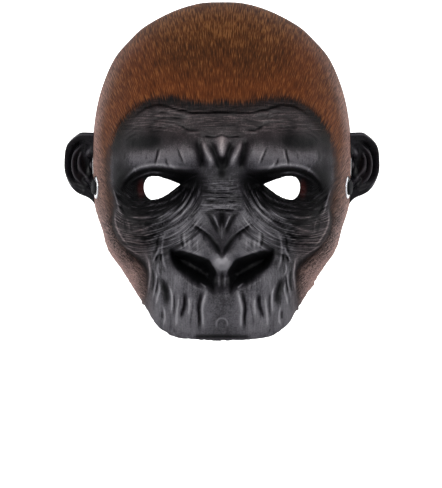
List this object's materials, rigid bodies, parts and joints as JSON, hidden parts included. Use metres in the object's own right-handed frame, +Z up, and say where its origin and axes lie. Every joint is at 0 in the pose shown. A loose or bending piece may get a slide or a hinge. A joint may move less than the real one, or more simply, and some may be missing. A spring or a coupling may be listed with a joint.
{
  "type": "gorilla mask",
  "caption": "Moulded latex gorilla half mask with an open back, eye holes, side ears and an elastic strap held by metal eyelets.",
  "frame": {"origin": "middle of the wearer's head, on the line between the two eyelets", "axes": "+Z up, the face looks along -Y, +X to the right of someone who looks at the face"},
  "size_m": [0.2422, 0.2307, 0.2546],
  "materials": {
    "face_latex": "matt painted latex, charcoal face with brown hair",
    "ear_latex": "black latex with a soft gloss",
    "eyelet_metal": "bright plated metal",
    "strap_elastic": "woven elastic webbing"
  },
  "bodies": {
    "root": {"mask_shell": "face_latex", "ear_left": "ear_latex", "ear_right": "ear_latex", "eyelet_left": "eyelet_metal", "eyelet_right": "eyelet_metal", "head_strap": "strap_elastic"}
  },
  "joints": []
}
